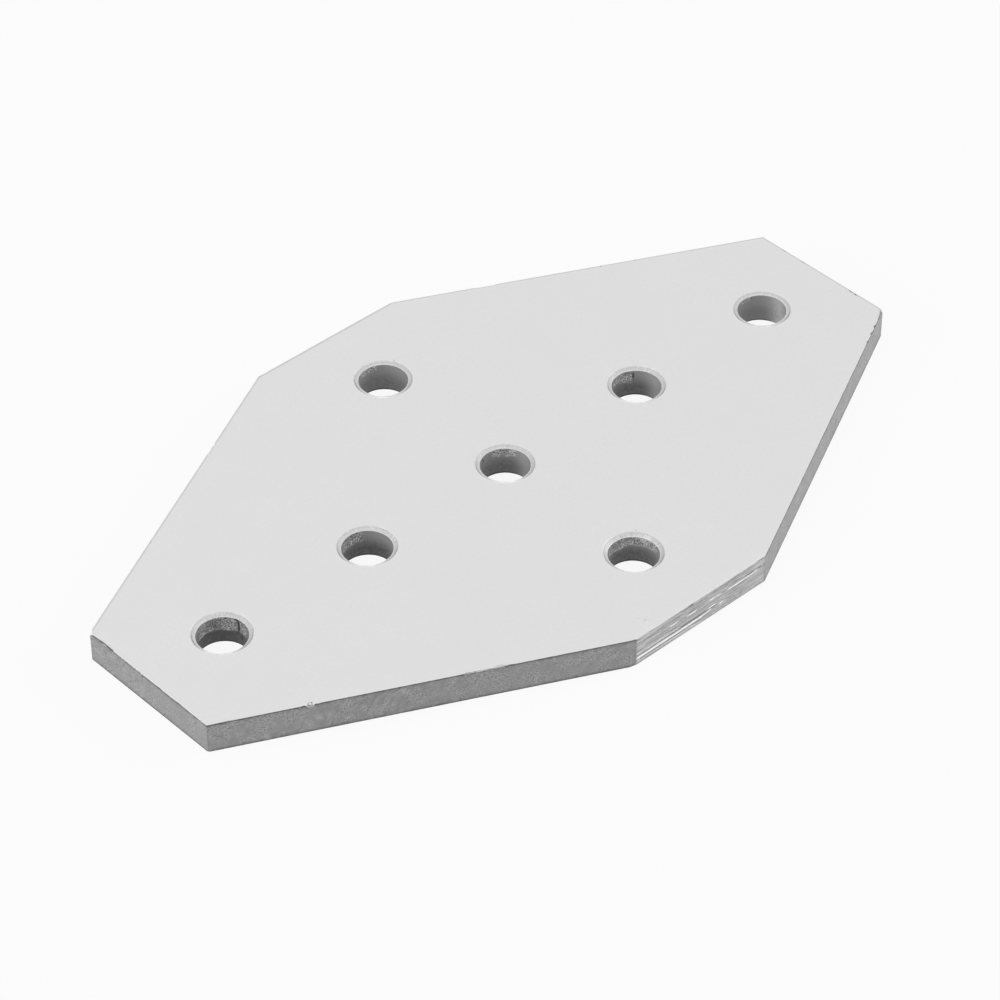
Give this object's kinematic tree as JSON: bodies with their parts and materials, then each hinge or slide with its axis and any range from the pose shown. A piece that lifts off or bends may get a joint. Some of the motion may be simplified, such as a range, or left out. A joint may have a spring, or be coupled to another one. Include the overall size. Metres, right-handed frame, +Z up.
{
  "type": "extrusion joining plate",
  "caption": "Flat aluminium cross plate that bolts crossing lengths of slotted framing together, with sawn slanting corners and countersunk screw holes on the framing's pitch.",
  "frame": {"origin": "middle of the underside, below the centre screw hole; the plate lies flat on z = 0", "axes": "+X along the bar and its line of screw holes, +Y along the cross arm, +Z up through the plate, out of the face that takes the screw heads"},
  "size_m": [0.15, 0.09, 0.0056],
  "materials": {
    "plate": "fine satin faces, drawn edges on the two long flats, sawn edges elsewhere"
  },
  "bodies": {
    "root": {"joining_plate": "plate"}
  },
  "joints": []
}
